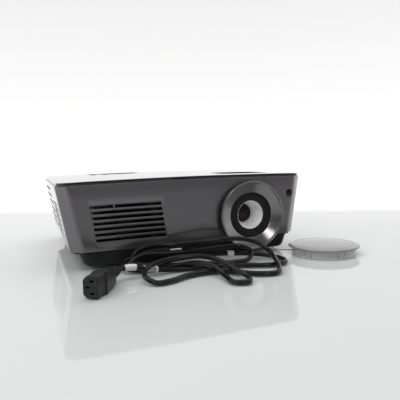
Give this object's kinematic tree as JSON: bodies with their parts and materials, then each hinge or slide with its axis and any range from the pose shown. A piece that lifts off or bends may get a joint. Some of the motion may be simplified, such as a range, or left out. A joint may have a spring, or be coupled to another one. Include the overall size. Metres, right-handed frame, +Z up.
{
  "type": "home projector",
  "caption": "Home cinema projector with a recessed lens in a gunmetal front, a gloss black top, a power lead and a loose lens cap.",
  "frame": {"origin": "centre of the front foot's underside, on the table", "axes": "+X to the right of someone facing the lens, the lens looks along -Y, +Z up"},
  "size_m": [0.444, 0.4825, 0.1258],
  "materials": {
    "gunmetal_paint": "satin metallic",
    "gloss_black": "gloss",
    "matte_black": "fine texture",
    "silver_plastic": "satin",
    "coated_glass": "polished, coated",
    "clear_plastic": "clear",
    "black_rubber": "semi-matte",
    "bare_metal": "machined",
    "circuit_board": "lacquered",
    "cap_grey": "gloss"
  },
  "bodies": {
    "projector": {"front_panel": "gunmetal_paint", "main_housing": "gunmetal_paint", "bottom_case": "matte_black", "top_cover": "gloss_black", "lens_top_cover": "gloss_black", "lamp_door": "matte_black", "rear_io_plate": "matte_black", "lens_ring": "gunmetal_paint", "lens_barrel": "matte_black", "engine_housing": "bare_metal", "dmd_board": "circuit_board", "dmd_heatsink": "bare_metal", "light_tunnel": "bare_metal", "wheel_motor": "bare_metal", "lamp_housing": "matte_black", "lamp_reflector": "coated_glass", "lamp_burner": "coated_glass", "exhaust_fan_frame": "matte_black", "intake_fan_frame": "matte_black", "lamp_blower_housing": "matte_black", "main_board": "circuit_board", "power_supply": "circuit_board", "lamp_ballast": "silver_plastic", "speaker": "matte_black", "ac_inlet": "matte_black", "lan_socket": "bare_metal", "hdmi_socket": "bare_metal", "vga_socket": "bare_metal", "audio_sockets": "gloss_black", "keypad_panel": "gloss_black", "keypad_light": "clear_plastic", "front_ir_window": "gloss_black", "rear_foot_pad": "black_rubber", "lens_cap_tether": "black_rubber", "power_connector": "black_rubber", "power_cord": "black_rubber", "mains_plug": "black_rubber"},
    "focus_ring": {"focus_ring": "matte_black"},
    "focus_group": {"front_barrel": "matte_black", "lens_baffle": "silver_plastic", "front_lens": "coated_glass"},
    "zoom_ring": {"zoom_ring": "matte_black"},
    "color_wheel": {"color_wheel": "coated_glass"},
    "exhaust_fan": {"exhaust_fan_rotor": "matte_black"},
    "intake_fan": {"intake_fan_rotor": "matte_black"},
    "lamp_blower": {"lamp_blower_rotor": "matte_black"},
    "front_foot": {"front_foot": "black_rubber"},
    "foot_release": {"foot_release_button": "matte_black"},
    "rear_foot_screw": {"rear_foot_screw": "bare_metal"},
    "rear_foot_knob": {"rear_foot_knob": "black_rubber"},
    "lens_cap": {"lens_cap_face": "cap_grey", "lens_cap_skirt": "clear_plastic"},
    "enter_key": {"enter_key": "gloss_black"},
    "up_key": {"up_key": "gloss_black"},
    "down_key": {"down_key": "gloss_black"},
    "left_key": {"left_key": "gloss_black"},
    "right_key": {"right_key": "gloss_black"},
    "power_key": {"power_key": "gloss_black"},
    "menu_key": {"menu_key": "gloss_black"},
    "source_key": {"source_key": "gloss_black"}
  },
  "joints": [
    {"name": "focus_turn", "type": "hinge", "parent": "projector", "child": "focus_ring", "pos_m": [0.0955, 0.026, 0.0612], "axis": [0, -1, 0], "range_deg": [-60, 60]},
    {"name": "focus_slide", "type": "slide", "parent": "projector", "child": "focus_group", "axis": [0, -1, 0], "range_m": [-0.003, 0.003]},
    {"name": "zoom_turn", "type": "hinge", "parent": "projector", "child": "zoom_ring", "pos_m": [0.0955, 0.056, 0.0612], "axis": [0, -1, 0], "range_deg": [-20, 20]},
    {"name": "color_wheel_spin", "type": "hinge", "parent": "projector", "child": "color_wheel", "pos_m": [0.006, 0.118, 0.0782], "axis": [1, 0, 0], "continuous": true},
    {"name": "exhaust_fan_spin", "type": "hinge", "parent": "projector", "child": "exhaust_fan", "pos_m": [-0.099, -0.0173, 0.0535], "axis": [0, -1, 0], "continuous": true},
    {"name": "intake_fan_spin", "type": "hinge", "parent": "projector", "child": "intake_fan", "pos_m": [0.131, 0.205, 0.0475], "axis": [1, 0, 0], "continuous": true},
    {"name": "lamp_blower_spin", "type": "hinge", "parent": "projector", "child": "lamp_blower", "pos_m": [-0.016, 0.052, 0.0325], "axis": [0, -1, 0], "continuous": true},
    {"name": "front_foot_drop", "type": "slide", "parent": "projector", "child": "front_foot", "axis": [0, 0, -1], "range_m": [0, 0.025]},
    {"name": "foot_release_press", "type": "slide", "parent": "projector", "child": "foot_release", "axis": [0, 1, 0], "range_m": [0, 0.003], "stiffness_N_per_m": 400, "springref_m": -0.002},
    {"name": "rear_foot_level", "type": "slide", "parent": "projector", "child": "rear_foot_screw", "axis": [0, 0, -1], "range_m": [0, 0.008]},
    {"name": "rear_foot_turn", "type": "hinge", "parent": "rear_foot_screw", "child": "rear_foot_knob", "pos_m": [0.125, 0.258, 0], "axis": [0, 0, -1], "range_deg": [0, 1440]},
    {"name": "lens_cap_lift", "type": "slide", "parent": "projector", "child": "lens_cap", "axis": [0, 0, 1], "range_m": [0, 0.03]},
    {"name": "enter_key_press", "type": "slide", "parent": "projector", "child": "enter_key", "axis": [0, 0, -1], "range_m": [0, 0.001], "stiffness_N_per_m": 400, "springref_m": -0.001},
    {"name": "up_key_press", "type": "slide", "parent": "projector", "child": "up_key", "axis": [0, 0, -1], "range_m": [0, 0.001], "stiffness_N_per_m": 400, "springref_m": -0.001},
    {"name": "down_key_press", "type": "slide", "parent": "projector", "child": "down_key", "axis": [0, 0, -1], "range_m": [0, 0.001], "stiffness_N_per_m": 400, "springref_m": -0.001},
    {"name": "left_key_press", "type": "slide", "parent": "projector", "child": "left_key", "axis": [0, 0, -1], "range_m": [0, 0.001], "stiffness_N_per_m": 400, "springref_m": -0.001},
    {"name": "right_key_press", "type": "slide", "parent": "projector", "child": "right_key", "axis": [0, 0, -1], "range_m": [0, 0.001], "stiffness_N_per_m": 400, "springref_m": -0.001},
    {"name": "power_key_press", "type": "slide", "parent": "projector", "child": "power_key", "axis": [0, 0, -1], "range_m": [0, 0.001], "stiffness_N_per_m": 400, "springref_m": -0.001},
    {"name": "menu_key_press", "type": "slide", "parent": "projector", "child": "menu_key", "axis": [0, 0, -1], "range_m": [0, 0.001], "stiffness_N_per_m": 400, "springref_m": -0.001},
    {"name": "source_key_press", "type": "slide", "parent": "projector", "child": "source_key", "axis": [0, 0, -1], "range_m": [0, 0.001], "stiffness_N_per_m": 400, "springref_m": -0.001}
  ],
  "couplings": [
    {"joint": "focus_slide", "follows": "focus_turn", "m_per_rad": 0.0028647},
    {"joint": "rear_foot_level", "follows": "rear_foot_turn", "m_per_rad": 0.0003183}
  ]
}
